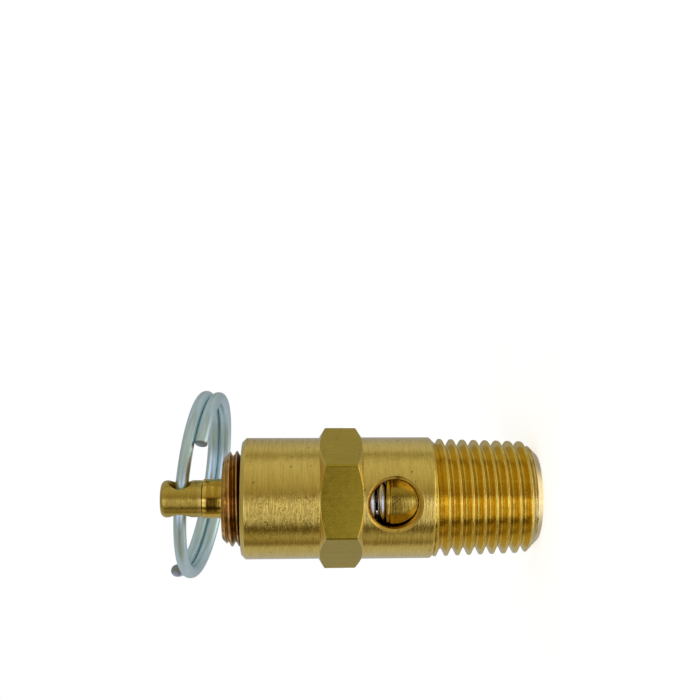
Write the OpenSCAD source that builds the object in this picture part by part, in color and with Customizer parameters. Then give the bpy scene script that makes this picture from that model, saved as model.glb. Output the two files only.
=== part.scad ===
// Spring-loaded pressure relief valve with a pull-to-test ring.
// Millimetres. +Z is up, as the valve stands when it is screwed into a tank:
// the inlet end face lies on z = 0 and the lift stem points up.
// The two discharge ports face -Y and +Y.

/* [Overall] */
// Length from the inlet face to the tip of the stem
overall_h = 43.0; // [42.4:0.1:43.6]
// Height of the stem's cross hole above the inlet face
eye_z = 40.82; // [40.7:0.02:41]

/* [Body] */
// Wrench size across the hexagon's flats
hex_af = 14.0; // [13.95:0.05:14.2]
// Diameter of the barrel between hexagon and inlet thread
lower_d = 13.9; // [13.7:0.05:13.9]
// Diameter of the bonnet above the hexagon
upper_d = 13.78; // [13.5:0.02:13.9]
// Height of the hexagon's lower edge
hex_z0 = 20.3; // [20.2:0.02:20.6]
// Height of the hexagon's upper edge
hex_z1 = 25.12; // [25:0.02:26]
// Turn of the hexagon about the axis, degrees from flats on the ports
hex_turn = 3; // [0:1:30]
// Height of the bonnet's top face
bonnet_z = 33.9; // [33.8:0.05:34.2]
// Diameter of the spring chamber
chamber_d = 9.9; // [9.86:0.02:9.94]
// Diameter of the inlet passage
inlet_d = 7.0; // [6.4:0.1:7.4]
// Diameter of the nozzle under the seal
nozzle_d = 5.0; // [4.8:0.1:5.2]

/* [Discharge ports] */
// Diameter of each port
port_d = 5.5; // [5.2:0.1:5.6]
// Height of the ports' centre line
port_z = 16.86; // [16.8:0.02:17]
// Diameter of the countersink where it meets the barrel
port_sink_d = 6.3; // [6.1:0.02:6.4]

/* [Inlet thread R 1/4] */
// Pitch, 19 threads to the inch
inlet_pitch = 1.337; // [1.337:0.001:1.337]
// Crest diameter at the gauge plane
gauge_d = 13.157; // [13.157:0.001:13.157]
// Height of the gauge plane above the inlet face
gauge_z = 5.2; // [5.1:0.1:6.9]
// Columns of facets round the inlet thread
inlet_cols = 40; // [32:4:48]

/* [Adjusting screw] */
// Pitch of the adjusting thread
adj_pitch = 0.84; // [0.8:0.02:0.9]
// Crest diameter of the screw's thread
adj_d = 10.86; // [10.8:0.02:10.92]
// Height of the screw's top face at the set pressure
adj_top = 36.0; // [35.9:0.05:36.1]
// Height of the screw's lower face at the set pressure
adj_bottom = 29.4; // [29.3:0.05:29.5]
// Outer diameter of the neck that the stem's head sits on
neck_d = 4.46; // [4.3:0.02:4.6]

/* [Stem] */
// Diameter of the stem's head
head_d = 4.2; // [4.1:0.05:4.3]
// Diameter of the shank through the spring
shank_d = 3.0; // [2.9:0.05:3.0]
// Diameter of the cross hole for the pull ring
eye_d = 2.8; // [2.7:0.1:2.8]
// Turn of the cross hole about the valve's axis, degrees from +X towards -Y
eye_turn = 9; // [2:1:10]

/* [Spring] */
// Wire diameter
spring_wire = 1.0; // [0.9:0.05:1]
// Mean coil diameter
spring_mean = 7.7; // [7.4:0.1:7.9]
// Coils that are free to move
spring_active = 5; // [4:1:5]

/* [Pull ring] */
// Wire diameter
ring_wire = 1.45; // [1.35:0.05:1.5]
// Mean radius of the ring
ring_r = 10.72; // [10.5:0.02:11]
// Lean of the ring about the port's direction, degrees
ring_lean = 5.8; // [4:0.2:7]
// Dip of the ring's far side below the cross hole, degrees
ring_dip = 6.6; // [4:0.2:8]
// Turn of the ring about the valve's axis, degrees from +Y towards +X
ring_turn = 3.6; // [2:0.2:5]

/* [Hidden] */
$fn = 96;
brass = [0.78, 0.62, 0.27];
brass_dark = [0.66, 0.48, 0.2];
zinc = [0.74, 0.8, 0.82];
steel = [0.7, 0.7, 0.72];
silicone = [0.62, 0.2, 0.14];

seat_z = 12.6;            // top of the nozzle's lip, where the seal sits
floor_z = 11.9;           // floor of the chamber round the nozzle
disc_top = 17.27;         // top of the valve disc
disc_low = 13.0;          // rim of the disc's skirt
washer_t = 0.42;          // lower spring washer
spring_z0 = disc_top + washer_t;
seat_t = 0.8;             // upper spring seat
spring_z1 = adj_bottom - seat_t;
neck_top = 38.27;
head_low = 38.35;
inlet_depth = 0.64 * inlet_pitch;
adj_depth = 0.52;
adj_phase = 0.56;
shoulder_z = 12.49;       // where the barrel starts above the thread
ring_pitch = ring_wire + 0.05;

// ---- helpers ---------------------------------------------------------------

function wrap(x) = x - floor(x);

// A solid right-hand threaded rod from z0 to z1 whose crest radius is
// r0 + taper * z. prof lists [share of the pitch, depth below the crest] and
// env lists [z, greatest radius]. phase, a share of the pitch, moves the thread
// up and is counted from z = 0, so a nut and its screw with the same phase mesh.
// Every crest and root runs on facet edges.
module thread_rod(z0, z1, pitch, prof, r0, taper, env, cols, phase = 0) {
    k = len(prof);
    zs = pitch * (floor(z0 / pitch) - 2 + phase);
    rows = k * (ceil((z1 - zs) / pitch) + 2);
    table = concat([[prof[k - 1][0] - 1, prof[k - 1][1]]], prof,
                   [[prof[0][0] + 1, prof[0][1]]]);
    function zn(i, j) = zs + pitch * (floor(j / k) + prof[j % k][0] + i / cols);
    function zc(i, j) = min(z1, max(z0, zn(i, j)));
    function rad(i, z) = min(r0 + taper * z
        - lookup(wrap((z - zs) / pitch - i / cols), table), lookup(z, env));
    low = [for (i = [0 : cols - 1]) max([for (j = [0 : rows]) if (zn(i, j) <= z0) j])];
    top = [for (i = [0 : cols - 1]) min([for (j = [0 : rows]) if (zn(i, j) >= z1) j])];
    function id(i, j) = i * (rows + 1) + min(top[i], max(low[i], j));
    pts = [for (i = [0 : cols - 1], j = [0 : rows])
        let (z = zc(i, j), r = rad(i, z), a = 360 * i / cols)
        [r * cos(a), r * sin(a), z]];
    n = len(pts);
    sides = [for (i = [0 : cols - 1])
        let (i2 = (i + 1) % cols, s = (i == cols - 1) ? k : 0)
        for (j = [0 : rows - 1 - s])
            let (a = id(i, j), b = id(i, j + 1), c = id(i2, j + s), d = id(i2, j + 1 + s))
            for (t = [[a, b, d], [a, d, c]])
                if (t[0] != t[1] && t[1] != t[2] && t[0] != t[2]) t];
    caps = [for (i = [0 : cols - 1]) let (i2 = (i + 1) % cols)
        for (t = [[n, id(i, 0), id(i2, 0)], [n + 1, id(i2, rows), id(i, rows)]]) t];
    polyhedron(points = concat(pts, [[0, 0, z0], [0, 0, z1]]),
               faces = concat(sides, caps), convexity = 12);
}

// A round wire swept along points p, with the frame given by the outward
// direction o and the vector u across it; z is held between zlo and zhi, which
// grinds the ends of a spring flat.
module wire(p, o, u, r, sides, zlo = -1000, zhi = 1000) {
    m = len(p);
    pts = [for (i = [0 : m - 1], s = [0 : sides - 1])
        let (a = 360 * (s + 0.5) / sides, q = p[i] + r * cos(a) * o[i] + r * sin(a) * u[i])
        [q[0], q[1], min(zhi, max(zlo, q[2]))]];
    body = [for (i = [0 : m - 2], s = [0 : sides - 1])
        let (s2 = (s + 1) % sides, a = i * sides + s, b = i * sides + s2,
             c = a + sides, d = b + sides)
        for (t = [[a, b, d], [a, d, c]]) t];
    ends = [for (s = [0 : sides - 1]) let (s2 = (s + 1) % sides, e = (m - 1) * sides)
        for (t = [[m * sides, s2, s], [m * sides + 1, e + s, e + s2]]) t];
    function mid(i) = let (b = i * sides)
        [for (k = [0 : 2]) (pts[b][k] + pts[b + floor(sides / 2)][k]) / 2];
    polyhedron(points = concat(pts, [mid(0), mid(m - 1)]),
               faces = concat(body, ends), convexity = 8);
}

// Corner rounding for a turned profile: points of a quarter arc of radius e
// centred on [x, z], from angle a0 to a1.
function arc(x, z, e, a0, a1, n = 5) =
    [for (i = [0 : n]) let (a = a0 + (a1 - a0) * i / n) [x + e * cos(a), z + e * sin(a)]];

// ---- body ------------------------------------------------------------------

// Barrel, bonnet and the shoulder that the thread runs into
module body_turned() {
    rl = lower_d / 2;
    ru = upper_d / 2;
    rotate_extrude()
        polygon([[0, 11], [5.55, 11], [5.55, shoulder_z - (rl - 5.55)], [rl, shoulder_z],
                 [rl, 23], [ru, 23], [ru, bonnet_z - 0.5], [ru - 0.5, bonnet_z],
                 [0, bonnet_z]]);
}

// Hexagon with both ends turned to a cone
module body_hex() {
    rb = lower_d / 2 + 0.02;
    intersection() {
        rotate([0, 0, hex_turn]) translate([0, 0, hex_z0 - 1])
            cylinder(r = hex_af / sqrt(3), h = hex_z1 - hex_z0 + 2, $fn = 6);
        rotate_extrude()
            polygon([[0, hex_z0], [rb, hex_z0], [8.4, hex_z0 + 0.95],
                     [8.4, hex_z1 - 0.87], [rb, hex_z1], [0, hex_z1]]);
    }
}

// Taper thread, its first turns cut back by the lead chamfer
module inlet_thread() {
    h = inlet_depth;
    thread_rod(0.5, shoulder_z - 0.06, inlet_pitch,
               [[0.08, h], [0.43, 0], [0.57, 0], [0.92, h]],
               gauge_d / 2 - gauge_z / 32, 1 / 32,
               [[0.5, 5.51], [1.3, 6.31], [2.1, 7.11], [20, 7.2]], inlet_cols, 0.861);
    // plain end face with the start of the lead chamfer
    rotate_extrude() polygon([[0, 0], [5.05, 0], [5.55, 0.5], [0, 0.5]]);
}

// Everything bored from the two ends: inlet, nozzle, raised seat, chamber
module body_bores() {
    rc = chamber_d / 2;
    ri = inlet_d / 2;
    rn = nozzle_d / 2;
    rotate_extrude()
        polygon([[0, -0.5], [ri + 0.8, -0.5], [ri, 0.3], [ri, 8.8], [rn, 9.4],
                 [rn, seat_z], [rn + 0.5, seat_z], [rn + 0.8, floor_z], [rc, floor_z],
                 [rc, 27.6], [5.62, 27.6], [5.62, 28.45], [rc, 28.45 + 0.4],
                 [rc, bonnet_z - 0.5], [rc + 0.8, bonnet_z + 0.3], [0, bonnet_z + 0.3]]);
}

module adjusting_thread_cut() {
    thread_rod(28, bonnet_z + 0.4, adj_pitch,
               [[0.04, adj_depth], [0.4, 0], [0.6, 0], [0.96, adj_depth]],
               adj_d / 2 + 0.09, 0, [[0, 6], [50, 6]], 32, adj_phase);
}

module ports() {
    r = port_d / 2;
    rs = port_sink_d / 2;
    translate([0, 0, port_z]) rotate([90, 0, 0]) {
        cylinder(r = r, h = 24, center = true);
        for (s = [0, 180]) rotate([0, s, 0])
            translate([0, 0, lower_d / 2 - (rs - r)])
                cylinder(r1 = r, r2 = r + 1.2, h = 1.2);
    }
}

module valve_body() {
    color(brass) difference() {
        union() {
            body_turned();
            body_hex();
            inlet_thread();
        }
        body_bores();
        adjusting_thread_cut();
        ports();
    }
}

// ---- adjusting screw and spring pack ---------------------------------------

module adjusting_screw() {
    color(brass_dark) difference() {
        union() {
            thread_rod(adj_bottom, adj_top, adj_pitch,
                       [[0.1, adj_depth], [0.45, 0], [0.55, 0], [0.9, adj_depth]],
                       adj_d / 2, 0,
                       [[adj_bottom, 4.7], [adj_bottom + 0.8, 5.5], [adj_top - 0.85, 5.5],
                        [adj_top, 4.62]], 32, adj_phase);
            // neck under the stem's head, with a small radius at its foot
            rotate_extrude()
                polygon(concat([[0, adj_top - 0.6], [neck_d / 2 + 0.25, adj_top - 0.6]],
                               arc(neck_d / 2 + 0.25, adj_top + 0.25, 0.25, 270, 180),
                               [[neck_d / 2, neck_top], [0, neck_top]]));
        }
        translate([0, 0, adj_bottom - 1]) cylinder(d = shank_d + 0.14, h = 12);
        // entry for the shank
        translate([0, 0, adj_bottom - 0.01]) cylinder(r1 = 2.3, r2 = 1.5, h = 0.8);
        // two holes for a pin spanner
        for (a = [35, 215]) rotate([0, 0, a]) translate([3.6, 0, adj_top - 1.6])
            cylinder(d = 1.3, h = 3);
    }
}

module upper_spring_seat() {
    color(steel) rotate_extrude()
        polygon([[1.7, spring_z1], [4.6, spring_z1], [4.7, spring_z1 + 0.1],
                 [4.7, adj_bottom - 0.1], [4.6, adj_bottom], [1.7, adj_bottom]]);
}

// Compression spring with closed ends ground flat
module main_spring() {
    r = spring_wire / 2;
    rm = spring_mean / 2;
    n = spring_active;
    rise = spring_wire + 0.02;
    p = (spring_z1 - spring_z0 - spring_wire / 2 - 2 * rise) / n;
    table = [[0, spring_z0 + r / 2], [1, spring_z0 + r / 2 + rise],
             [1 + n, spring_z1 - r / 2 - rise], [2 + n, spring_z1 - r / 2]];
    steps = 24;
    turns = [for (i = [0 : (n + 2) * steps]) i / steps];
    color(steel) wire(
        [for (t = turns) [rm * cos(360 * t - 175), rm * sin(360 * t - 175), lookup(t, table)]],
        [for (t = turns) [cos(360 * t - 175), sin(360 * t - 175), 0]],
        [for (t = turns) [0, 0, 1]], r, 8, spring_z0, spring_z1);
}

module lower_spring_washer() {
    z1 = disc_top + washer_t;
    color(brass) rotate_extrude()
        polygon([[1.65, disc_top], [4.5, disc_top], [4.6, disc_top + 0.1],
                 [4.6, z1 - 0.1], [4.5, z1], [1.65, z1]]);
}

// ---- valve disc ------------------------------------------------------------

// Disc holder: a turned piston with a skirt round the seal
module valve_disc() {
    color(brass) rotate_extrude()
        polygon([[1.05, 14.2], [3.5, 14.2], [3.5, disc_low + 0.1], [3.6, disc_low],
                 [4.55, disc_low], [4.7, disc_low + 0.15], [4.7, disc_top - 0.1],
                 [4.6, disc_top], [1.05, disc_top]]);
}

module seat_seal() {
    color(silicone) rotate_extrude()
        polygon([[1.05, seat_z], [3.3, seat_z], [3.45, seat_z + 0.15], [3.45, 14.2],
                 [1.05, 14.2]]);
}

module seal_retainer() {
    color(brass) rotate_extrude()
        polygon([[1.05, seat_z - 0.4], [2.0, seat_z - 0.4], [2.1, seat_z - 0.3],
                 [2.1, seat_z], [1.05, seat_z]]);
}

// ---- stem and ring ---------------------------------------------------------

module lift_stem() {
    rh = head_d / 2;
    rs = shank_d / 2;
    e = 0.65;
    color(brass) difference() {
        rotate_extrude()
            polygon(concat(
                [[0, 11.65], [1.2, 11.65], [1.6, 11.85], [1.7, 12.2], [1.0, 12.2],
                 [1.0, disc_top], [rs, disc_top], [rs, head_low], [rh - 0.1, head_low],
                 [rh, head_low + 0.1]],
                arc(rh - e, overall_h - e, e, 0, 90), [[0, overall_h]]));
        rotate([0, 0, -eye_turn]) translate([0, 0, eye_z]) rotate([0, 90, 0])
            cylinder(d = eye_d, h = 10, center = true);
        // deburred mouths of the cross hole
        rotate([0, 0, -eye_turn]) translate([0, 0, eye_z]) for (s = [0, 180])
            rotate([0, 90 + s, 0]) translate([0, 0, 1.75])
                cylinder(r1 = eye_d / 2, r2 = eye_d / 2 + 0.6, h = 0.6);
    }
}

// Split ring of one and three quarter turns. The turn angle t runs from the
// side that passes through the stem; it advances upwards as it goes round.
module pull_ring() {
    r = ring_wire / 2;
    steps = 70;
    a0 = 35;
    a1 = 648;
    turn = [for (i = [0 : steps]) a0 + (a1 - a0) * i / steps];
    color(zinc) translate([0, 0, eye_z]) rotate([0, ring_lean, 0]) rotate([-ring_dip, 0, 0])
        rotate([0, 0, -ring_turn]) wire([for (t = turn) [ring_r * sin(t), ring_r - ring_r * cos(t),
                              ring_pitch * (t - 360) / 360]],
             [for (t = turn) [sin(t), -cos(t), 0]],
             [for (t = turn) [0, 0, 1]], r, 10);
}

valve_body();
adjusting_screw();
upper_spring_seat();
main_spring();
lower_spring_washer();
valve_disc();
seat_seal();
seal_retainer();
lift_stem();
pull_ring();
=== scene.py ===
import math
import bpy
import bmesh
import numpy as np
from mathutils import Matrix, Vector


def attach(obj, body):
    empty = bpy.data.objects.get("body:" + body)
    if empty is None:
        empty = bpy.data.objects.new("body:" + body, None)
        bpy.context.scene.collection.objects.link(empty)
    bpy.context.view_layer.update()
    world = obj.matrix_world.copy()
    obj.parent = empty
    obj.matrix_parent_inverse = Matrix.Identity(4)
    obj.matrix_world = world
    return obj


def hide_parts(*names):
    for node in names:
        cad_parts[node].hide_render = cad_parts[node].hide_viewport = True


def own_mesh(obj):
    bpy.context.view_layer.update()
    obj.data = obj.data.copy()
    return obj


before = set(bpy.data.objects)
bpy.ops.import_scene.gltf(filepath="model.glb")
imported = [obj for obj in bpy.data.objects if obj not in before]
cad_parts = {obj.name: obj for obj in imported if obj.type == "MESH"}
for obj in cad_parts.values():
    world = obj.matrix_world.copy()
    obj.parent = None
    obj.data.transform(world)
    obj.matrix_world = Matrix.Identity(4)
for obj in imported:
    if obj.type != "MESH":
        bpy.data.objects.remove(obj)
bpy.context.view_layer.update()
MM = 0.001

# ---------------------------------------------------------------- dimensions
# millimetres, the same values as the CAD part's driving dimensions
OVERALL = 43.0
EYE_Z = 40.82
HEX_AF, HEX_Z0, HEX_Z1, HEX_TURN = 14.0, 20.3, 25.12, 3.0
R_LOW, R_UP = 6.95, 6.89
BONNET = 33.9
R_CH = 4.95
R_IN, R_NOZ = 3.5, 2.5
PORT_R, PORT_Z, SINK_R = 2.75, 16.86, 3.15
SHOULDER = 12.49
ADJ_TOP, ADJ_BOT, NECK_R, NECK_TOP = 36.0, 29.4, 2.23, 38.27
HEAD_LOW, HEAD_R, SHANK_R, EYE_R, EYE_TURN = 38.35, 2.1, 1.5, 1.4, 9.0
DISC_TOP, DISC_LOW, SEAT_Z, FLOOR_Z = 17.27, 13.0, 12.6, 11.9
WASH_T = 0.42
SPR_Z0, SPR_Z1 = DISC_TOP + WASH_T, ADJ_BOT - 0.8


# ---------------------------------------------------------------- mesh tools
class Build:
    """Grids of points in millimetres, welded into one closed mesh."""

    def __init__(self):
        self.v, self.f, self.m, self.n = [], [], [], 0

    def grid(self, P, mat=0, wrap_u=True, shift=0):
        U, V, _ = P.shape
        idx = np.arange(U * V).reshape(U, V) + self.n
        self.v.append(P.reshape(-1, 3))
        self.n += U * V
        quads = []
        rows = U if wrap_u else U - 1
        a, b = idx[: rows if not wrap_u else U - 1], idx[1:U]
        q = np.stack([a[:, :-1], b[:, :-1], b[:, 1:], a[:, 1:]], -1).reshape(-1, 4)
        quads.append(q)
        if wrap_u:
            s = shift
            a, b = idx[U - 1], idx[0]
            n = V - 1 - s
            q = np.stack([a[:n], b[s:s + n], b[s + 1:s + n + 1], a[1:n + 1]], -1)
            quads.append(q)
        q = np.concatenate(quads)
        self.f.append(q)
        self.m.append(np.full(len(q), mat))

    def obj(self, name, mats, weld=0.002, sharp=34.0):
        v = np.concatenate(self.v) * MM
        f = np.concatenate(self.f)
        m = np.concatenate(self.m)
        me = bpy.data.meshes.new(name)
        me.from_pydata(v.tolist(), [], f.tolist())
        me.polygons.foreach_set("material_index", m.astype(np.int32))
        bm = bmesh.new()
        bm.from_mesh(me)
        bmesh.ops.remove_doubles(bm, verts=bm.verts, dist=weld * MM)
        bmesh.ops.recalc_face_normals(bm, faces=bm.faces)
        open_edges = sum(1 for e in bm.edges if len(e.link_faces) != 2)
        loose = [x for x in bm.verts if not x.link_faces]
        if loose:
            bmesh.ops.delete(bm, geom=loose, context="VERTS")
        if bm.calc_volume(signed=True) < 0:
            bmesh.ops.reverse_faces(bm, faces=bm.faces)
        bm.to_mesh(me)
        bm.free()
        if open_edges:
            print("open edges", name, open_edges)
        for x in mats:
            me.materials.append(x)
        smooth(me, sharp)
        o = bpy.data.objects.new(name, me)
        bpy.context.scene.collection.objects.link(o)
        return o


def smooth(me, sharp=34.0):
    me.polygons.foreach_set("use_smooth", [True] * len(me.polygons))
    me.set_sharp_from_angle(angle=math.radians(sharp))
    me.update()


def turned(profile, phis):
    """Profile points [(r, z)] turned about Z, as a grid."""
    p = np.array(profile, float)
    a = np.radians(phis)
    return np.stack([p[None, :, 0] * np.cos(a)[:, None],
                     p[None, :, 0] * np.sin(a)[:, None],
                     np.repeat(p[None, :, 1], len(a), 0)], -1)


def rz_grid(R, Z, phis):
    a = np.radians(phis)[:, None]
    return np.stack([R * np.cos(a), R * np.sin(a), Z], -1)


def rounded(points, e, closed=True, n=3):
    """Rounds every corner of a profile loop by e, or by its own radius where a point has three numbers."""
    out = []
    k = len(points)
    for i, p in enumerate(points):
        r = p[2] if len(p) > 2 else e
        p = np.array(p[:2], float)
        a = np.array(points[i - 1][:2], float)
        b = np.array(points[(i + 1) % k][:2], float)
        if (not closed and i in (0, k - 1)) or r <= 0:
            out.append(tuple(p))
            continue
        da, db = a - p, b - p
        la, lb = np.linalg.norm(da), np.linalg.norm(db)
        r = min(r, la * 0.45, lb * 0.45)
        da, db = da / la * r, db / lb * r
        for s in np.linspace(0, 1, n + 1):
            q = p + da * (1 - s) ** 2 + db * s ** 2
            out.append(tuple(q))
    return out


def thread_rows(phis, z0, z1, pitch, prof, phase, r_at):
    """Rows that follow a right-hand helix, held between z0 and z1. Returns radii, heights and the rows per turn."""
    k = len(prof)
    sh = np.array([p[0] for p in prof])
    dp = np.array([p[1] for p in prof])
    zs = pitch * (math.floor(z0 / pitch) - 2 + phase)
    rows = k * (math.ceil((z1 - zs) / pitch) + 2)
    j = np.arange(rows + 1)
    frac = (phis / 360.0)[:, None]
    zn = zs + pitch * ((j // k) + sh[j % k])[None, :] + pitch * frac
    z = np.clip(zn, z0, z1)
    x = (z - zs) / pitch - frac
    x = x - np.floor(x)
    ts = np.concatenate([[sh[-1] - 1], sh, [sh[0] + 1]])
    td = np.concatenate([[dp[-1]], dp, [dp[0]]])
    d = np.interp(x, ts, td)
    return r_at(z, d), z, k


def sweep(P, O, W, r, sides, cap=0.12, zlo=-1e9, zhi=1e9, caps=(True, True)):
    """A round wire along P with section axes O and W, its ends rounded by cap."""
    P, O, W = map(np.array, (P, O, W))
    T = np.gradient(P, axis=0)
    T /= np.linalg.norm(T, axis=1)[:, None]
    s = np.concatenate([[0], np.cumsum(np.linalg.norm(np.diff(P, axis=0), axis=1))])
    rad = np.full(len(P), r)
    if caps[0]:
        i = int(np.searchsorted(s, cap))
        P = np.concatenate([[P[0]], [P[0]], [P[0] + T[0] * cap * .3], [P[0] + T[0] * cap], P[i + 1:]])
        O = np.concatenate([[O[0]] * 4, O[i + 1:]])
        W = np.concatenate([[W[0]] * 4, W[i + 1:]])
        rad = np.concatenate([[0, r - cap, r - cap * .3, r], rad[i + 1:]])
    else:
        P, O, W = [np.concatenate([[x[0]], x]) for x in (P, O, W)]
        rad = np.concatenate([[0], rad])
    if caps[1]:
        k = int(np.searchsorted(s[-1] - s[::-1], cap)) + 1
        e = P[-1]
        t = T[-1]
        P = np.concatenate([P[:-k], [e - t * cap], [e - t * cap * .3], [e], [e]])
        O = np.concatenate([O[:-k], [O[-1]] * 4])
        W = np.concatenate([W[:-k], [W[-1]] * 4])
        rad = np.concatenate([rad[:-k], [r, r - cap * .3, r - cap, 0]])
    else:
        P, O, W = [np.concatenate([x, [x[-1]]]) for x in (P, O, W)]
        rad = np.concatenate([rad, [0]])
    a = np.linspace(0, 2 * math.pi, sides, endpoint=False)
    G = (P[None] + rad[None, :, None] * (np.cos(a)[:, None, None] * O[None]
                                         + np.sin(a)[:, None, None] * W[None]))
    G[..., 2] = np.clip(G[..., 2], zlo, zhi)
    return G


def cut(obj, cutter):
    """Takes the cutter away from obj, and removes the cutter."""
    mod = obj.modifiers.new("cut", "BOOLEAN")
    mod.operation = "DIFFERENCE"
    mod.solver = "MANIFOLD"
    mod.object = cutter
    bpy.context.view_layer.update()
    dg = bpy.context.evaluated_depsgraph_get()
    me = bpy.data.meshes.new_from_object(obj.evaluated_get(dg), preserve_all_data_layers=True, depsgraph=dg)
    obj.modifiers.clear()
    obj.data = me
    bpy.data.objects.remove(cutter)
    smooth(me)


def loft(name, rings, mats):
    """A closed cutter from rings of points that share one number of points."""
    b = Build()
    R = np.array(rings)                      # (stations, n, 3)
    c0, c1 = R[0].mean(0), R[-1].mean(0)
    R = np.concatenate([np.repeat(c0[None, None], R.shape[1], 1), R,
                        np.repeat(c1[None, None], R.shape[1], 1)])
    b.grid(R.transpose(1, 0, 2))
    return b.obj(name, mats)


def wire_coords(obj, frame_pts):
    """Stores how far along the wire and how far round it each vertex is, in millimetres, for the drawing marks."""
    P = np.array(frame_pts)
    s = np.concatenate([[0], np.cumsum(np.linalg.norm(np.diff(P, axis=0), axis=1))])
    me = obj.data
    co = np.zeros(len(me.vertices) * 3)
    me.vertices.foreach_get("co", co)
    co = co.reshape(-1, 3) / MM
    T = np.gradient(P, axis=0)
    T /= np.linalg.norm(T, axis=1)[:, None]
    out = np.zeros((len(co), 3), np.float32)
    for c in range(0, len(co), 4000):
        d = ((co[c:c + 4000, None] - P[None]) ** 2).sum(-1)
        i = d.argmin(1)
        off = co[c:c + 4000] - P[i]
        out[c:c + 4000, 0] = s[i]
        up = np.array([0, 0, 1.0])
        side = np.cross(T[i], up)
        side /= np.linalg.norm(side, axis=1)[:, None]
        w = np.cross(side, T[i])
        ang = np.arctan2((off * w).sum(1), (off * side).sum(1))
        out[c:c + 4000, 1] = np.cos(ang)
        out[c:c + 4000, 2] = np.sin(ang)
    at = me.attributes.new("wire_pos", "FLOAT_VECTOR", "POINT")
    at.data.foreach_set("vector", out.ravel())


# ---------------------------------------------------------------- materials
def tree(name):
    m = bpy.data.materials.new(name)
    m.use_nodes = True
    t = m.node_tree
    t.nodes.clear()
    out = t.nodes.new("ShaderNodeOutputMaterial")
    bs = t.nodes.new("ShaderNodeBsdfPrincipled")
    t.links.new(bs.outputs[0], out.inputs[0])
    return m, t, bs


class N:
    """Short names for building a node tree."""

    def __init__(self, t):
        self.t = t

    def node(self, kind, **kw):
        n = self.t.nodes.new(kind)
        for k, v in kw.items():
            setattr(n, k, v)
        return n

    def link(self, a, b):
        self.t.links.new(a, b)

    def put(self, sock, val):
        if hasattr(val, "node") or isinstance(val, bpy.types.NodeSocket):
            self.link(val, sock)
        else:
            sock.default_value = val

    def math(self, op, a, b=0.0, c=None, clamp=False):
        n = self.node("ShaderNodeMath", operation=op, use_clamp=clamp)
        self.put(n.inputs[0], a)
        self.put(n.inputs[1], b)
        if c is not None:
            self.put(n.inputs[2], c)
        return n.outputs[0]

    def scale(self, v, xyz):
        n = self.node("ShaderNodeVectorMath", operation="MULTIPLY")
        self.put(n.inputs[0], v)
        n.inputs[1].default_value = xyz
        return n.outputs[0]

    def noise(self, v, scale, detail=3.0, rough=0.55, lac=2.0, out="Fac"):
        n = self.node("ShaderNodeTexNoise", noise_dimensions="3D")
        self.put(n.inputs["Vector"], v)
        n.inputs["Scale"].default_value = scale
        n.inputs["Detail"].default_value = detail
        n.inputs["Roughness"].default_value = rough
        n.inputs["Lacunarity"].default_value = lac
        return n.outputs[out]

    def remap(self, x, a, b, c=0.0, d=1.0):
        n = self.node("ShaderNodeMapRange")
        n.clamp = True
        self.put(n.inputs[0], x)
        for i, val in zip((1, 2, 3, 4), (a, b, c, d)):
            n.inputs[i].default_value = val
        return n.outputs[0]

    def mix(self, f, a, b, mode="MIX"):
        n = self.node("ShaderNodeMix", data_type="RGBA", blend_type=mode)
        self.put(n.inputs[0], f)
        self.put(n.inputs[6], a if not isinstance(a, tuple) else (*a, 1.0))
        self.put(n.inputs[7], b if not isinstance(b, tuple) else (*b, 1.0))
        return n.outputs[2]

    def bump(self, h, strength, dist, normal=None):
        n = self.node("ShaderNodeBump")
        n.inputs["Strength"].default_value = strength
        n.inputs["Distance"].default_value = dist
        self.put(n.inputs["Height"], h)
        if normal is not None:
            self.link(normal, n.inputs["Normal"])
        return n.outputs[0]


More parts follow.
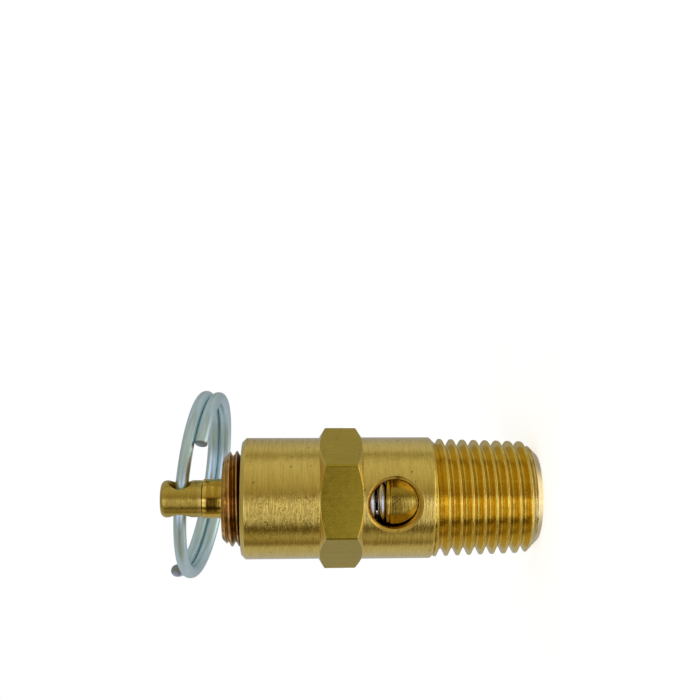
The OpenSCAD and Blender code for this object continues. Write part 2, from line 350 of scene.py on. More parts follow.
def metal(name, base, shade, rough=0.26, rough_var=0.10, marks="turned", marks_scale=7.0,
          marks_bump=0.5, marks_colour=0.25, patina=0.35, specks=0.35, scratches=0.3,
          aniso=0.55, coat=0.0, dents=0.25, tarnish=None, wear_and_highlight=0.35, wear_and_highlight_col=None, metallic=1.0,
          seed=0.0, edge_mm=0.0, tone_below_z=None, grain_bump=0.14, warm=True, ends=0.0, corners=True):
    """A machined or drawn metal. marks is turned (rings about Z), drawn (lines along Z) or wire (lines along the wire)."""
    m, t, bs = tree(name)
    g = N(t)
    tc = g.node("ShaderNodeTexCoord")
    pos = g.node("ShaderNodeVectorMath", operation="MULTIPLY_ADD")
    g.link(tc.outputs["Object"], pos.inputs[0])
    pos.inputs[1].default_value = (1000,) * 3
    pos.inputs[2].default_value = (seed, seed * 1.7, 0)
    p0 = g.scale(tc.outputs["Object"], (1000,) * 3)
    p = pos.outputs[0]
    sep = g.node("ShaderNodeSeparateXYZ")
    g.link(p0, sep.inputs[0])
    if marks == "turned":
        r = g.math("SQRT", g.math("ADD", g.math("MULTIPLY", sep.outputs[0], sep.outputs[0]),
                                  g.math("MULTIPLY", sep.outputs[1], sep.outputs[1])))
        # rings about Z, broken into short lengths on the way round
        cv = g.node("ShaderNodeCombineXYZ")
        g.link(g.math("MULTIPLY_ADD", sep.outputs[0], 0.10, r), cv.inputs[0])
        g.link(g.math("MULTIPLY_ADD", sep.outputs[1], 0.10, seed), cv.inputs[1])
        g.link(sep.outputs[2], cv.inputs[2])
        fine_v = cv.outputs[0]
    elif marks == "drawn":
        fine_v = g.scale(p, (1, 1, 0.03))
    else:
        at = g.node("ShaderNodeAttribute", attribute_name="wire_pos")
        fine_v = g.scale(at.outputs["Vector"], (0.03, 1.0, 1.0))
    fine = g.noise(fine_v, marks_scale, 4.0, 0.62)
    coarse = g.noise(fine_v, marks_scale * 0.28, 2.0, 0.5)
    cloud = g.noise(p, 0.32, 3.0, 0.6)
    mottle = g.noise(p, 1.6, 4.0, 0.65)
    grain = g.noise(p, 9.0, 2.0, 0.6)
    # colour: two tones, line variation, clouded patina, then small dark specks
    col = g.mix(g.remap(cloud, 0.38, 0.66, 0.0, patina), base, shade)
    col = g.mix(g.remap(fine, 0.36, 0.62, marks_colour, 0.0), col,
                g.mix(1.0, col, (0.62, 0.55, 0.42) if warm else (0.74, 0.78, 0.80), "MULTIPLY"))
    spot_v = g.node("ShaderNodeTexVoronoi", feature="F1")
    g.link(g.scale(p, (1.0, 1.0, 1.0)), spot_v.inputs["Vector"])
    spot_v.inputs["Scale"].default_value = 0.95
    near = g.remap(spot_v.outputs["Distance"], 0.05, 0.13, 1.0, 0.0)
    rare = g.remap(g.noise(p, 0.8, 2.0), 0.43, 0.51)
    spots = g.math("MULTIPLY", near, rare)
    dust = g.remap(g.noise(p, 5.5, 2.0, 0.7), 0.665, 0.72)
    spots = g.math("MAXIMUM", spots, g.math("MULTIPLY", dust, g.remap(mottle, 0.45, 0.6)))
    col = g.mix(g.math("MULTIPLY", spots, specks), col, (0.10, 0.05, 0.015) if warm else (0.16, 0.19, 0.20))
    if tarnish is not None:
        col = g.mix(g.remap(mottle, 0.42, 0.62, 0.0, tarnish[1]), col, tarnish[0])
    # scratches: thin bright lines in two directions
    sc = []
    for ang, st in ((0.45, 1.0), (-0.8, 1.35), (1.35, 0.8)):
        mp = g.node("ShaderNodeMapping")
        g.link(p, mp.inputs["Vector"])
        mp.inputs["Rotation"].default_value = (ang, ang * 0.7, ang * 1.3)
        mp.inputs["Scale"].default_value = (5.5 * st, 0.30, 5.5 * st)
        nz = g.noise(mp.outputs[0], 1.0, 1.0, 0.4)
        line = g.remap(g.math("ABSOLUTE", g.math("SUBTRACT", nz, 0.5)), 0.0, 0.012, 1.0, 0.0)
        msk = g.remap(g.noise(p, 0.9 * st, 1.0), 0.56, 0.63)
        sc.append(g.math("MULTIPLY", line, msk))
    scr = g.math("MAXIMUM", g.math("MAXIMUM", sc[0], sc[1]), sc[2])
    col = g.mix(g.math("MULTIPLY", scr, scratches * 0.6), col, tuple(min(1.0, c * 1.25 + 0.06) for c in base))
    # edges are painted brighter: partly bare worn metal, partly a painted highlight along edges, thread crests and rims
    geo = g.node("ShaderNodeNewGeometry")
    worn_highlight_edge = g.remap(geo.outputs["Pointiness"], 0.512, 0.56, 0.0, wear_and_highlight if corners else 0.0)
    if corners == "sides":
        # only the thread and its chamfers get the painted bright edges (wear and painted highlight), not the flat end
        # face
        up = g.node("ShaderNodeSeparateXYZ")
        g.link(geo.outputs["True Normal"], up.inputs[0])
        worn_highlight_edge = g.math("MULTIPLY", worn_highlight_edge, g.remap(up.outputs[2], 0.98, 0.995, 1.0, 0.0))
    if edge_mm:
        bev = g.node("ShaderNodeBevel", samples=4)
        bev.inputs["Radius"].default_value = edge_mm * MM
        dot = g.node("ShaderNodeVectorMath", operation="DOT_PRODUCT")
        g.link(bev.outputs[0], dot.inputs[0])
        g.link(geo.outputs["Normal"], dot.inputs[1])
        soft = g.remap(dot.outputs["Value"], 0.90, 0.99, wear_and_highlight, 0.0)
        worn_highlight_edge = g.math("MAXIMUM", worn_highlight_edge, g.math("MULTIPLY", soft, g.remap(mottle, 0.34, 0.55, 0.35, 1.0)))
    if ends:
        # the snipped ends of the wire are bare and dull
        sw = g.node("ShaderNodeSeparateXYZ")
        g.link(at.outputs["Vector"], sw.inputs[0])
        tip = g.math("MAXIMUM", g.remap(sw.outputs[0], 0.0, 0.10, 1.0, 0.0), g.remap(sw.outputs[0], ends - 0.10, ends, 0.0, 1.0))
        col = g.mix(g.math("MULTIPLY", tip, 0.85), col, (0.17, 0.185, 0.19))
    # a second colour is mixed in below a height: a paler beige on the inlet's lead chamfer, a painted reflection; a
    # near-black brown on the screw towards the bonnet's mouth
    if tone_below_z:
        col = g.mix(g.remap(sep.outputs[2], tone_below_z[0], tone_below_z[1], tone_below_z[3], 0.0), col, tone_below_z[2])
    hollow = g.remap(geo.outputs["Pointiness"], 0.44, 0.492, 0.5 if corners else 0.0, 0.0)
    # the pale edge colour mixed in here is partly wear, partly a painted highlight
    col = g.mix(worn_highlight_edge, col, wear_and_highlight_col or tuple(min(1.0, c * 1.22 + 0.08) for c in base))
    col = g.mix(hollow, col, g.mix(1.0, col, (0.45, 0.34, 0.22) if warm else (0.40, 0.47, 0.50), "MULTIPLY"))
    g.link(col, bs.inputs["Base Color"])
    bs.inputs["Metallic"].default_value = metallic
    ro = g.math("ADD", g.remap(mottle, 0.35, 0.68, rough - rough_var * 0.5, rough + rough_var * 0.6),
                g.remap(fine, 0.35, 0.65, rough_var * 0.5, -rough_var * 0.3))
    ro = g.math("ADD", ro, g.math("MULTIPLY", spots, 0.25), clamp=True)
    g.link(ro, bs.inputs["Roughness"])
    if aniso and marks == "turned":
        bs.inputs["Anisotropic"].default_value = aniso
        bs.inputs["Anisotropic Rotation"].default_value = ROTATE
        tan = g.node("ShaderNodeTangent", direction_type="RADIAL", axis="Z")
        g.link(tan.outputs[0], bs.inputs["Tangent"])
    if coat:
        bs.inputs["Coat Weight"].default_value = coat
        bs.inputs["Coat Roughness"].default_value = 0.18
    nrm = g.bump(fine, marks_bump, 0.012 * MM * 6)
    nrm = g.bump(coarse, marks_bump * 0.5, 0.02 * MM * 6, nrm)
    nrm = g.bump(mottle, dents, 0.02 * MM * 5, nrm)
    nrm = g.bump(g.math("SUBTRACT", g.math("MULTIPLY", grain, 0.3), g.math("MULTIPLY", scr, scratches)), grain_bump, 0.01 * MM * 4, nrm)
    g.link(nrm, bs.inputs["Normal"])
    return m


ROTATE = 0.25
BRASS = (0.84, 0.625, 0.135)
BRASS_SHADE = (0.79, 0.55, 0.09)
# the pale edge colours and amounts below paint edges, crests and the port's rim bright: partly wear, partly painted
# highlight
M_BODY = metal("brass_turned", BRASS, BRASS_SHADE, rough=0.14, rough_var=0.07, aniso=0.8, dents=0.04, marks_scale=4.0, marks_bump=0.8,
               edge_mm=0.09, wear_and_highlight=0.7, wear_and_highlight_col=(0.98, 0.84, 0.45), marks_colour=0.36, specks=0.9, coat=0.50,
               corners=False)
# the hexagon flats are the same brass as the barrel, painted darker: painted shade for the dim flats
M_HEX_SHADED = metal("brass_drawn_flats_shaded", (0.465, 0.338, 0.028), (0.425, 0.298, 0.020), rough=0.22, marks="drawn", marks_scale=4.0,
              marks_bump=0.12, marks_colour=0.16, aniso=0, specks=0.45, seed=4.0, edge_mm=0.07, wear_and_highlight=0.95, coat=0.15,
              dents=0.02, wear_and_highlight_col=(0.98, 0.86, 0.45), grain_bump=0.05, scratches=0.25, corners=False)
# the lead chamfer, below z 1.15, is painted a paler beige brass: a painted reflection of the bright surroundings below
M_THREAD = metal("brass_thread", (0.84, 0.62, 0.10), (0.78, 0.50, 0.05), rough=0.11, marks_scale=7.0,
                 marks_bump=0.35, marks_colour=0.15, specks=0.5, aniso=0.2, wear_and_highlight=0.32, dents=0.24, seed=2.0, edge_mm=0.04,
                 wear_and_highlight_col=(1.0, 0.88, 0.46), coat=0.12,
                 tone_below_z=(0.7, 1.15, (0.82, 0.67, 0.40), 0.85))
# the bore, chamber and inner thread are the body's brass painted dark: painted shade inside the chamber
M_BORE_SHADED = metal("brass_bore_shaded", (0.44, 0.25, 0.05), (0.32, 0.16, 0.03), rough=0.30, marks_scale=6.0,
               marks_bump=0.6, specks=0.4, seed=7.0)
M_PORT = metal("brass_port_wall", (0.74, 0.50, 0.09), (0.62, 0.37, 0.05), rough=0.16, marks="drawn", dents=0.08,
               marks_bump=0.25, aniso=0, specks=0.3, seed=3.0, edge_mm=0.06, wear_and_highlight=1.0, wear_and_highlight_col=(1.0, 0.90, 0.58),
               corners=False)
M_SCREW = metal("brass_screw_thread", (0.66, 0.37, 0.065), (0.45, 0.21, 0.033), rough=0.16, aniso=0.5, dents=0.08,
                marks_scale=6.0, marks_bump=0.4, specks=0.6, patina=0.8, tarnish=((0.24, 0.09, 0.03), 0.5), wear_and_highlight=0.8,
                tone_below_z=(34.3, 35.0, (0.09, 0.020, 0.010), 0.9), wear_and_highlight_col=(0.90, 0.60, 0.20), seed=5.0,
                corners="sides")
M_NECK = metal("brass_screw_neck", (0.78, 0.54, 0.09), (0.64, 0.40, 0.05), rough=0.07, rough_var=0.04, aniso=0.0, dents=0.02,
               marks_scale=6.0, marks_bump=0.12, specks=0.4, patina=0.6, seed=6.0, edge_mm=0.06, wear_and_highlight=0.8, grain_bump=0.05)
M_STEM = metal("brass_stem", (0.62, 0.445, 0.08), (0.52, 0.34, 0.045), rough=0.20, aniso=0.8, dents=0.05, marks_scale=6.0,
               edge_mm=0.07, wear_and_highlight=0.6, marks_bump=0.6, marks_colour=0.3, specks=0.5, patina=0.5, seed=9.0, coat=0.2)
M_DISC = metal("brass_disc", (0.56, 0.40, 0.055), (0.46, 0.28, 0.03), rough=0.12, dents=0.04, marks_scale=9.0,
               marks_bump=0.2, marks_colour=0.10, specks=0.25, seed=11.0, grain_bump=0.05)
M_RETAIN = metal("brass_retainer", (0.78, 0.58, 0.17), (0.66, 0.46, 0.11), rough=0.28, seed=12.0)
M_SPRING = metal("steel_spring_wire", (0.62, 0.61, 0.60), (0.50, 0.49, 0.47), rough=0.20, marks="wire",
                 marks_scale=3.0, marks_bump=0.4, aniso=0, specks=0.25, scratches=0.2, seed=13.0,
                 wear_and_highlight_col=(0.8, 0.8, 0.8), warm=False)
M_SEAT = metal("steel_spring_seat", (0.60, 0.60, 0.60), (0.50, 0.49, 0.48), rough=0.28, seed=14.0,
               wear_and_highlight_col=(0.8, 0.8, 0.8), warm=False)
M_RING = metal("zinc_plated_wire", (0.66, 0.84, 0.88), (0.60, 0.78, 0.82), rough=0.36, rough_var=0.05,
               marks="wire", marks_scale=2.2, marks_bump=0.05, marks_colour=0.06, aniso=0, patina=0.5, specks=0.05,
               scratches=0.05, dents=0.015, wear_and_highlight=0.2, wear_and_highlight_col=(0.90, 0.96, 0.96), ends=114.7, seed=15.0, coat=0.3, warm=False,
               grain_bump=0.04)


def rubber():
    m, t, bs = tree("silicone_seal")
    g = N(t)
    tc = g.node("ShaderNodeTexCoord")
    p = g.scale(tc.outputs["Object"], (1000,) * 3)
    a = g.noise(p, 1.2, 4.0)
    b = g.noise(p, 14.0, 3.0)
    g.link(g.mix(g.remap(a, 0.35, 0.65), (0.40, 0.07, 0.045), (0.29, 0.045, 0.03)), bs.inputs["Base Color"])
    g.link(g.remap(b, 0.3, 0.7, 0.5, 0.68), bs.inputs["Roughness"])
    bs.inputs["Sheen Weight"].default_value = 0.08
    bs.inputs["Subsurface Weight"].default_value = 0.05
    bs.inputs["Subsurface Scale"].default_value = 0.0004
    g.link(g.bump(b, 0.3, 0.00002), bs.inputs["Normal"])
    return m


M_SEAL = rubber()

# ---------------------------------------------------------------- valve body
face = np.concatenate([[0, 0.34, 0.68, 1.02, 1.36], np.linspace(1.95, 58.05, 46), [58.64, 58.98, 59.32, 59.66]])
PHI = np.concatenate([face + 60 * i for i in range(6)]) + HEX_TURN


def hex_radius(phis, e=0.38):
    """Radius of the hexagon's outline with its corners rounded by e."""
    d = (phis - HEX_TURN + 30) % 60 - 30          # degrees from the nearest corner
    af = HEX_AF / 2
    flat = af / np.cos(np.radians(30 - np.abs(d)))
    c = (af - e) / math.cos(math.radians(30))
    rd = np.radians(d)
    arc = c * np.cos(rd) + np.sqrt(np.maximum(e * e - (c * np.sin(rd)) ** 2, 0))
    lim = math.degrees(math.atan2(e * 0.5, c + e * math.cos(math.radians(30))))
    return np.where(np.abs(d) <= lim + 1e-6, arc, flat)


WHIT = [(0.0, 0.856), (0.05, 0.852), (0.09, 0.825), (0.125, 0.765), (0.16, 0.67), (0.21, 0.535), (0.26, 0.40),
        (0.31, 0.265), (0.36, 0.13), (0.395, 0.045), (0.42, 0.008), (0.445, 0.0), (0.47, 0.020), (0.5, 0.030), (0.53, 0.020), (0.555, 0.0),
        (0.58, 0.008), (0.605, 0.045), (0.64, 0.13), (0.69, 0.265), (0.74, 0.40), (0.79, 0.535), (0.84, 0.67),
        (0.875, 0.765), (0.91, 0.825), (0.95, 0.852)]
Z_TH = SHOULDER - 0.07


def r_inlet(z, d):
    crest = 13.157 / 2 - 5.2 / 32 + z / 32
    r = crest - d
    r = np.minimum(r, 5.03 + z)                      # lead chamfer
    return np.maximum(r, R_LOW + (z - SHOULDER))     # 45 degree shoulder


b = Build()
R, Z, k = thread_rows(PHI, 0.0, Z_TH, 1.337, WHIT, 0.861, r_inlet)
b.grid(rz_grid(R, Z, PHI), 2, shift=k)
b.grid(turned([(R_LOW - 0.07, Z_TH), (R_LOW - 0.025, SHOULDER - 0.015), (R_LOW - 0.004, SHOULDER + 0.04),
               (R_LOW, SHOULDER + 0.1)]
              + [(R_LOW, z) for z in np.linspace(SHOULDER + 0.15, HEX_Z0 - 0.09, 34)]
              + [(R_LOW, HEX_Z0 - 0.05), (R_LOW - 0.02, HEX_Z0 - 0.02), (R_LOW - 0.02, HEX_Z0)], PHI), 0)
hr = hex_radius(PHI)
rb = R_LOW + 0.02
za = HEX_Z0 + 0.95 * (hr - rb) / (8.4 - rb)
zb = HEX_Z1 - 0.87 * (hr - rb) / (8.4 - rb)


def hex_rows(z_face, z_edge, slope, s):
    """The turned cone on one end of the hexagon, its rim and the corner where it meets the flats."""
    cone = lambda t: (rb + (hr - rb) * t, z_face + (z_edge - z_face) * t)
    rows = [(np.full_like(hr, R_LOW - 0.02 if s > 0 else R_UP - 0.02), np.full_like(hr, z_face))]
    rows.append((np.full_like(hr, rb - 0.03), np.full_like(hr, z_face)))
    rows.append((np.full_like(hr, rb), z_face + 0 * hr))
    for t in (0.25, 0.5, 0.75):
        rows.append(cone(t))
    L = np.maximum(hr - rb, 1e-3)
    rows.append(cone(np.maximum(1 - 0.06 / L, 0.8)))
    rows.append((hr - 0.12 * np.minimum(L, 0.12), z_edge + s * 0.004))
    rows.append((hr, z_edge + s * 0.05))
    rows.append((hr, z_edge + s * 0.09))
    return rows


low = hex_rows(HEX_Z0, za, 0.95, 1)
high = hex_rows(HEX_Z1, zb, 0.87, -1)
mid = [(hr, za + 0.09 + (zb - za - 0.18) * t) for t in (0.25, 0.5, 0.75)]
Rl = np.stack([x[0] for x in low], 1)
Zl = np.stack([x[1] for x in low], 1)
b.grid(rz_grid(Rl[:, :8], Zl[:, :8], PHI), 0)
rows = low[7:] + mid + high[::-1][:3]
b.grid(rz_grid(np.stack([x[0] for x in rows], 1), np.stack([x[1] for x in rows], 1), PHI), 1)
rows = high[::-1][2:]
b.grid(rz_grid(np.stack([x[0] for x in rows], 1), np.stack([x[1] for x in rows], 1), PHI), 0)
top_in = R_CH + 0.6
b.grid(turned([(R_UP - 0.02, HEX_Z1), (R_UP - 0.02, HEX_Z1 + 0.03), (R_UP, HEX_Z1 + 0.07), (R_UP, HEX_Z1 + 0.11), (R_UP, 26.5), (R_UP, 28.5), (R_UP, 30.5),
               (R_UP, 32.4), (R_UP, BONNET - 0.61), (R_UP, BONNET - 0.56), (R_UP - 0.012, BONNET - 0.50), (R_UP - 0.04, BONNET - 0.45),
               (R_UP - 0.45, BONNET - 0.045), (R_UP - 0.50, BONNET - 0.012), (R_UP - 0.56, BONNET),
               (R_UP - 0.9, BONNET), (top_in + 0.05, BONNET), (top_in, BONNET - 0.03)], PHI), 0)
ADJ = [(0.02, 0.52), (0.08, 0.50), (0.14, 0.43), (0.2, 0.34), (0.28, 0.21), (0.36, 0.09), (0.41, 0.02), (0.46, 0.0),
       (0.54, 0.0), (0.59, 0.02), (0.64, 0.09), (0.72, 0.21), (0.8, 0.34), (0.86, 0.43), (0.92, 0.50), (0.98, 0.52)]


def r_female(z, d):
    r = 5.52 - d
    r = np.maximum(r, top_in - (BONNET - 0.03 - z))
    return np.maximum(r, 5.62 - (z - 28.45))


ADJF = [(0.03, 0.52), (0.12, 0.42), (0.2, 0.31), (0.28, 0.19), (0.36, 0.08), (0.4, 0.02), (0.44, 0.0), (0.56, 0.0),
        (0.6, 0.02), (0.64, 0.08), (0.72, 0.19), (0.8, 0.31), (0.88, 0.42), (0.97, 0.52)]
R, Z, k = thread_rows(PHI, 28.45, BONNET - 0.03, 0.84, ADJF, 0.56, r_female)
b.grid(rz_grid(R, Z, PHI), 3, shift=k)
b.grid(turned([(5.62, 28.45), (5.62, 27.6), (R_CH, 27.6), (R_CH, 25), (R_CH, 22), (R_CH, 19), (R_CH, 16), (R_CH, 13.5),
               (R_CH, FLOOR_Z + 0.1), (R_CH - 0.1, FLOOR_Z), (R_NOZ + 0.8, FLOOR_Z), (R_NOZ + 0.52, SEAT_Z - 0.05),
               (R_NOZ + 0.45, SEAT_Z), (R_NOZ + 0.05, SEAT_Z), (R_NOZ, SEAT_Z - 0.05), (R_NOZ, 9.4), (R_IN, 8.8),
               (R_IN, 6.0), (R_IN, 3.0), (R_IN, 0.35), (R_IN + 0.3, 0.03), (R_IN + 0.34, 0.0), (4.6, 0.0), (5.03, 0.0)],
              PHI), 3)
body = b.obj("body_turned_brass", [M_BODY, M_HEX_SHADED, M_THREAD, M_BORE_SHADED, M_PORT])

for sgn in (-1, 1):
    th = np.linspace(0, 2 * math.pi, 120, endpoint=False)

    def station(r, depth):
        x = r * np.cos(th)
        z = PORT_Z + r * np.sin(th)
        y = np.sqrt(R_LOW ** 2 - x ** 2) - depth
        return np.stack([x, sgn * y, z], 1)

    def flat_ring(r, y):
        return np.stack([r * np.cos(th), np.full_like(th, sgn * y), PORT_Z + r * np.sin(th)], 1)

    rings = [flat_ring(PORT_R, 3.3), station(PORT_R, 0.45), station(PORT_R + 0.012, 0.39), station(PORT_R + 0.05, 0.33),
             station(SINK_R - 0.03, 0.025), station(SINK_R + 0.25, -0.22), flat_ring(SINK_R + 0.3, 9.0)]
    cut(body, loft("cutter", rings, [M_PORT]))
me = body.data                                   # the hexagon's six flats are plane, so they are shaded flat
nrm = np.zeros(len(me.polygons) * 3)
me.polygons.foreach_get("normal", nrm)
nrm = nrm.reshape(-1, 3)
slot_of = np.zeros(len(me.polygons), dtype=int)
me.polygons.foreach_get("material_index", slot_of)
on_flat = np.zeros(len(nrm), dtype=bool)
for i in range(6):
    a = math.radians(HEX_TURN + 30 + 60 * i)
    on_flat |= nrm @ np.array([math.cos(a), math.sin(a), 0.0]) > math.cos(math.radians(1.2))
on_flat &= slot_of == 1
me.polygons.foreach_set("use_smooth", ~on_flat)
print("hexagon flats:", int(on_flat.sum()), "of", int((slot_of == 1).sum()))
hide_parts("valve_body")
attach(body, "root")

# ---------------------------------------------------------------- adjusting screw
PA = np.linspace(0, 360, 192, endpoint=False)


def r_screw(z, d):
    r = 5.43 - d
    r = np.minimum(r, 4.70 + (z - ADJ_BOT))
    return np.minimum(r, 4.62 + (ADJ_TOP - z) * 1.04)


b = Build()
R, Z, k = thread_rows(PA, ADJ_BOT, ADJ_TOP, 0.84, ADJ, 0.56, r_screw)
b.grid(rz_grid(R, Z, PA), 0, shift=k)
neck = [(4.62, ADJ_TOP), (4.2, ADJ_TOP), (3.0, ADJ_TOP), (NECK_R + 0.25, ADJ_TOP)]
neck += [(NECK_R + 0.25 + 0.25 * math.cos(math.radians(a)), ADJ_TOP + 0.25 + 0.25 * math.sin(math.radians(a)))
         for a in (255, 240, 225, 210, 195, 180)]
neck += [(NECK_R, ADJ_TOP + 1.0), (NECK_R, NECK_TOP - 0.6)]
b.grid(turned(neck[:4], PA), 0)
b.grid(turned(neck[3:], PA), 1)
b.grid(turned([(NECK_R, NECK_TOP - 0.6), (NECK_R, NECK_TOP - 0.07), (NECK_R - 0.02, NECK_TOP - 0.02),
               (NECK_R - 0.07, NECK_TOP), (1.65, NECK_TOP), (1.57, NECK_TOP - 0.08), (1.57, 36), (1.57, 33),
               (1.57, 30.2), (2.3, ADJ_BOT), (4.70, ADJ_BOT)], PA), 1)
screw = b.obj("adjusting_screw_brass", [M_SCREW, M_NECK])
for ang in (35, 215):
    c = np.array([3.6 * math.cos(math.radians(ang)), 3.6 * math.sin(math.radians(ang))])
    th = np.linspace(0, 2 * math.pi, 40, endpoint=False)
    rings = []
    for r, z in ((0.02, 34.15), (0.65, 34.45), (0.65, ADJ_TOP - 0.12), (0.77, ADJ_TOP), (0.87, ADJ_TOP + 0.1)):
        rings.append(np.stack([c[0] + r * np.cos(th), c[1] + r * np.sin(th), np.full_like(th, z)], 1))
    cut(screw, loft("cutter", rings, [M_SCREW]))
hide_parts("adjusting_screw")
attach(screw, "set_screw")

# ---------------------------------------------------------------- turned small parts
PS = np.linspace(0, 360, 160, endpoint=False)


def turned_part(name, node, body_name, mat, profile, e=0.06, n=3):
    bb = Build()
    pts = rounded(profile, e, True, n)
    bb.grid(turned(pts + [pts[0]], PS))
    o = bb.obj(name, [mat])
    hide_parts(node)
    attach(o, body_name)
    return o


turned_part("upper_spring_seat_steel", "upper_spring_seat", "spring_seat", M_SEAT,
            [(1.7, SPR_Z1), (4.7, SPR_Z1), (4.7, ADJ_BOT), (1.7, ADJ_BOT)], 0.1)
turned_part("lower_washer_brass", "lower_spring_washer", "stem", M_DISC,
            [(1.65, DISC_TOP), (4.6, DISC_TOP), (4.6, SPR_Z0), (1.65, SPR_Z0)], 0.1)
turned_part("valve_disc_brass", "valve_disc", "stem", M_DISC,
            [(1.05, 14.2), (3.5, 14.2), (3.5, DISC_LOW), (4.7, DISC_LOW, 0.15), (4.7, DISC_TOP, 0.12),
             (1.05, DISC_TOP)], 0.06)
turned_part("seat_seal_silicone", "seat_seal", "stem", M_SEAL,
            [(1.05, SEAT_Z), (3.45, SEAT_Z, 0.16), (3.45, 14.2), (1.05, 14.2)], 0.05)
turned_part("seal_retainer_brass", "seal_retainer", "stem", M_RETAIN,
            [(1.05, SEAT_Z - 0.4), (2.1, SEAT_Z - 0.4, 0.1), (2.1, SEAT_Z), (1.05, SEAT_Z)], 0.04)

# ---------------------------------------------------------------- stem
e = 0.65
prof = [(0.0, 11.65), (0.6, 11.65), (1.2, 11.65), (1.45, 11.74), (1.6, 11.87), (1.7, 12.1), (1.68, 12.18), (1.6, 12.2),
        (1.0, 12.2), (1.0, 14.0), (1.0, DISC_TOP), (SHANK_R, DISC_TOP), (SHANK_R, 20), (SHANK_R, 24), (SHANK_R, 28), (SHANK_R, 32),
        (SHANK_R, 36), (SHANK_R, HEAD_LOW), (HEAD_R - 0.09, HEAD_LOW), (HEAD_R - 0.03, HEAD_LOW + 0.02),
        (HEAD_R, HEAD_LOW + 0.08), (HEAD_R, 39.0), (HEAD_R, 40.0), (HEAD_R, 41.0), (HEAD_R, 41.8)]
prof += [(HEAD_R - e + e * math.cos(math.radians(a)), OVERALL - e + e * math.sin(math.radians(a)))
         for a in (0, 12, 24, 36, 48, 60, 72, 82, 90)]
prof += [(1.0, OVERALL), (0.5, OVERALL), (0.0, OVERALL)]
b = Build()
b.grid(turned(prof, PS))
stem = b.obj("stem_turned_brass", [M_STEM])
dx = np.array([math.cos(math.radians(-EYE_TURN)), math.sin(math.radians(-EYE_TURN)), 0])
dw = np.array([-dx[1], dx[0], 0])
th = np.linspace(0, 2 * math.pi, 72, endpoint=False)


def eye_ring(r, side, depth):
    w = r * np.cos(th)
    z = EYE_Z + r * np.sin(th)
    s = side * (np.sqrt(np.maximum(HEAD_R ** 2 - w ** 2, 0.8)) - depth)
    return dx[None] * s[:, None] + dw[None] * w[:, None] + np.array([0, 0, 1.0])[None] * z[:, None]


def eye_end(side):
    return (dx * side * 4.0 + dw[None] * ((EYE_R + 0.42) * np.cos(th))[:, None]
            + np.array([0, 0, 1.0])[None] * (EYE_Z + (EYE_R + 0.42) * np.sin(th))[:, None])


rings = [eye_end(-1), eye_ring(EYE_R + 0.42, -1, -0.40), eye_ring(EYE_R + 0.13, -1, -0.012), eye_ring(EYE_R + 0.08, -1, 0.03),
         eye_ring(EYE_R + 0.03, -1, 0.09), eye_ring(EYE_R, -1, 0.18),
         eye_ring(EYE_R, 1, 0.18), eye_ring(EYE_R + 0.03, 1, 0.09), eye_ring(EYE_R + 0.08, 1, 0.03),
         eye_ring(EYE_R + 0.13, 1, -0.012), eye_ring(EYE_R + 0.42, 1, -0.40), eye_end(1)]
cut(stem, loft("cutter", rings, [M_STEM]))
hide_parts("lift_stem")
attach(stem, "stem")

# ---------------------------------------------------------------- spring
rw, rm = 0.5, 3.85
rise = 1.02
pts_t = [0, 1, 6, 7]
pts_z = [SPR_Z0 + rw / 2, SPR_Z0 + rw / 2 + rise, SPR_Z1 - rw / 2 - rise, SPR_Z1 - rw / 2]


def spring_part(name, t0, t1, caps):
    t = np.linspace(t0, t1, int((t1 - t0) * 60) + 1)
    a = np.radians(360 * t - 175)
    zc = np.interp(t, pts_t, pts_z)
    # the pitch changes over a short stretch, not at one point
    zc = (zc + np.interp(t - 0.05, pts_t, pts_z) + np.interp(t + 0.05, pts_t, pts_z)) / 3
    P = np.stack([rm * np.cos(a), rm * np.sin(a), zc], 1)
    O = np.stack([np.cos(a), np.sin(a), 0 * a], 1)
    W = np.stack([0 * a, 0 * a, 0 * a + 1], 1)
    bb = Build()
    bb.grid(sweep(P, O, W, rw, 28, 0.06, SPR_Z0, SPR_Z1, caps))
    o = bb.obj(name, [M_SPRING], weld=0.001, sharp=40)
    wire_coords(o, P)
    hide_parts("main_spring")
    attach(o, "root")
    return o


lower = spring_part("spring_lower_coils", 0, 3.5, (True, False))
upper = spring_part("spring_upper_coils", 3.5, 7, (False, True))
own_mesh(lower)
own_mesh(upper)

# ---------------------------------------------------------------- pull ring
RR, RP, RW = 10.72, 1.5, 0.735
t = np.linspace(35, 648, 330)
tr = np.radians(t)
P = np.stack([RR * np.sin(tr), RR - RR * np.cos(tr), RP * (t - 360) / 360], 1)
O = np.stack([np.sin(tr), -np.cos(tr), 0 * tr], 1)
W = np.stack([0 * tr, 0 * tr, 0 * tr + 1], 1)


def rot(axis, deg):
    return np.array(Matrix.Rotation(math.radians(deg), 3, axis))


M3 = rot("Y", 5.8) @ rot("X", -6.6) @ rot("Z", -3.6)
P = P @ M3.T + np.array([0, 0, EYE_Z])
O, W = O @ M3.T, W @ M3.T
b = Build()
b.grid(sweep(P, O, W, RW, 36, 0.10))
ring = b.obj("pull_ring_zinc_wire", [M_RING], weld=0.001)
wire_coords(ring, P)
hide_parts("pull_ring")
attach(ring, "ring")

# ---------------------------------------------------------------- floor
fm, ft, fb = tree("floor_pale")
g = N(ft)
tc = g.node("ShaderNodeTexCoord")
fp = g.scale(tc.outputs["Object"], (1000,) * 3)
g.link(g.mix(g.remap(g.noise(fp, 0.02, 2.0), 0.3, 0.7), (0.93, 0.93, 0.93), (0.955, 0.955, 0.955)), fb.inputs["Base Color"])
fb.inputs["Roughness"].default_value = 0.9
fb.inputs["Specular IOR Level"].default_value = 0.0
fb.inputs["Emission Color"].default_value = (1, 1, 1, 1)
fb.inputs["Emission Strength"].default_value = 0.62
bb = Build()
bb.grid(turned([(0.0, 0.0), (60.0, 0.0), (200.0, 0.0), (600.0, 0.0)], np.linspace(0, 360, 96, endpoint=False)))
floor = bb.obj("floor", [fm])
floor.visible_glossy = False

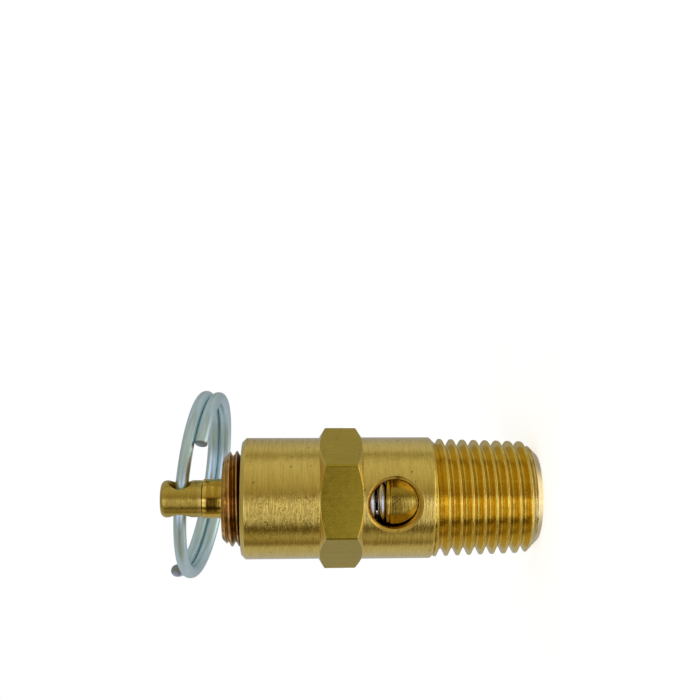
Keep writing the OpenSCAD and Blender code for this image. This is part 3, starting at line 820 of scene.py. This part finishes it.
# ---------------------------------------------------------------- light
# A light tent: what the metal reflects depends on the direction round the valve's axis.
# Stops are degrees from the -Y side towards +X, then the level seen square to the axis and
# the level seen at an incline to it.
world = bpy.data.worlds.new("tent")
bpy.context.scene.world = world
world.use_nodes = True
wt = world.node_tree
wt.nodes.clear()
g = N(wt)
wo = g.node("ShaderNodeOutputWorld")
tc = g.node("ShaderNodeTexCoord")
sp = g.node("ShaderNodeSeparateXYZ")
g.link(tc.outputs["Generated"], sp.inputs[0])
ang = g.math("ARCTAN2", sp.outputs[0], g.math("MULTIPLY", sp.outputs[1], -1.0))
ang = g.math("ADD", g.math("DIVIDE", ang, 2 * math.pi), 0.5)
STOPS = [(-180, .40, .40), (-125, .50, .52), (-108, .50, .52), (-98, .48, .50), (-92, .24, .32), (-87, .13, .26),
         (-82, .22, .38), (-69, .42, .58), (-64, .25, .42), (-59, .07, .22), (-51, .02, .11), (-47, .03, .28),
         (-43, .05, .78), (-35, .24, 1.12), (-27, .30, .98), (-20, .28, .85), (-12, .28, 1.00), (-5, .25, 1.60),
         (2, .22, 1.15), (7, .12, .40), (11, .14, .32), (18, .34, .40), (33, .51, .48), (50, .61, .53), (67, .74, .56),
         (77, .80, .50), (86, .70, .46), (92, .46, .36), (98, .12, .12), (102, .58, .50), (112, .62, .58),
         (148, .38, .38)]


def tent_ramp(k):
    n = g.node("ShaderNodeValToRGB")
    g.link(ang, n.inputs[0])
    cr = n.color_ramp
    while len(cr.elements) > 1:
        cr.elements.remove(cr.elements[-1])
    for i, st in enumerate(STOPS):
        v = st[k]
        w = min(1.0, max(0.0, (abs(st[0]) - 85) / 30.0))     # the cards behind are cooler than those in front
        front = (1.0, min(1.02, 0.72 + 0.44 * v), min(1.3, 0.22 + 1.10 * v))      # dim cards in front are amber, bright ones white
        tint = [x + (y - x) * w for x, y in zip(front, (1.0, 1.02, 1.06))]
        pos = min(1.0, st[0] / 360 + 0.5)
        el = cr.elements[0] if i == 0 else cr.elements.new(pos)
        el.position = pos
        el.color = (*[v * x for x in tint], 1)
    return n.outputs[0]


level = tent_ramp(1)
inclined = tent_ramp(2)
tilt = g.math("MAXIMUM", g.remap(sp.outputs[2], 0.12, 0.32), g.remap(sp.outputs[2], -0.125, -0.045, 1.0, 0.0))
# the photographer's side is dark a little above the valve's middle
card = g.math("MULTIPLY", g.remap(sp.outputs[2], 0.036, 0.052), g.remap(sp.outputs[2], 0.12, 0.18, 1.0, 0.0))
card = g.math("MULTIPLY", card, g.remap(g.math("ABSOLUTE", g.math("SUBTRACT", ang, 0.5 - 34 / 360)), 0.112, 0.132, 1.0, 0.0))
level = g.mix(card, level, (0.035, 0.022, 0.010))
# beyond the bonnet the tent is dimmer
dim = g.math("MULTIPLY", g.remap(sp.outputs[2], 0.050, 0.066), g.remap(sp.outputs[2], 0.14, 0.22, 1.0, 0.0))
dim = g.math("MULTIPLY", dim, g.remap(ang, 0.52, 0.56))
level = g.mix(dim, level, (0.30, 0.26, 0.13))
col = g.mix(tilt, level, inclined)
# below the inlet the tent is bright; above the stem it is dimmer
col = g.mix(g.remap(sp.outputs[2], 0.72, 0.92), col, (0.36, 0.35, 0.30))
col = g.mix(g.remap(sp.outputs[2], -0.95, -0.80, 1.0, 0.0), col, (1.30, 1.28, 1.15))
lp = g.node("ShaderNodeLightPath")
bg = g.node("ShaderNodeBackground")
g.link(g.mix(lp.outputs["Is Camera Ray"], col, (1.0, 1.0, 1.0)), bg.inputs[0])
bg.inputs[1].default_value = 1.0
g.link(bg.outputs[0], wo.inputs[0])

# ---------------------------------------------------------------- camera
F_PX, CX, CY = 1153.995, 404.82, 366.09
rx, ry, rz = -0.0067, -0.0902, -0.0047


def rmat(axis, a):
    c, s = math.cos(a), math.sin(a)
    return {"x": np.array([[1, 0, 0], [0, c, -s], [0, s, c]]),
            "y": np.array([[c, 0, s], [0, 1, 0], [-s, 0, c]]),
            "z": np.array([[c, -s, 0], [s, c, 0], [0, 0, 1]])}[axis]


B0 = np.array([[0, 0, -1.0], [1.0, 0, 0], [0, 1.0, 0]])
RC = rmat("x", rx) @ rmat("y", ry) @ rmat("z", rz) @ B0
cam = bpy.data.cameras.new("camera")
cam.sensor_width = 36.0
cam.lens = F_PX * 36.0 / 700.0
cam.shift_x = (350 - CX) / 700
cam.shift_y = (CY - 350) / 700
cam.clip_start = 0.005
cam.clip_end = 20
co = bpy.data.objects.new("camera", cam)
mw = Matrix.Identity(4)
for i in range(3):
    mw[i][0], mw[i][1], mw[i][2] = RC[0][i], RC[1][i], -RC[2][i]
mw[0][3], mw[1][3], mw[2][3] = 16.039 * MM, -132.946 * MM, 27.323 * MM
co.matrix_world = mw
bpy.context.scene.collection.objects.link(co)
bpy.context.scene.camera = co

vs = bpy.context.scene.view_settings
vs.view_transform = "Standard"
vs.look = "None"
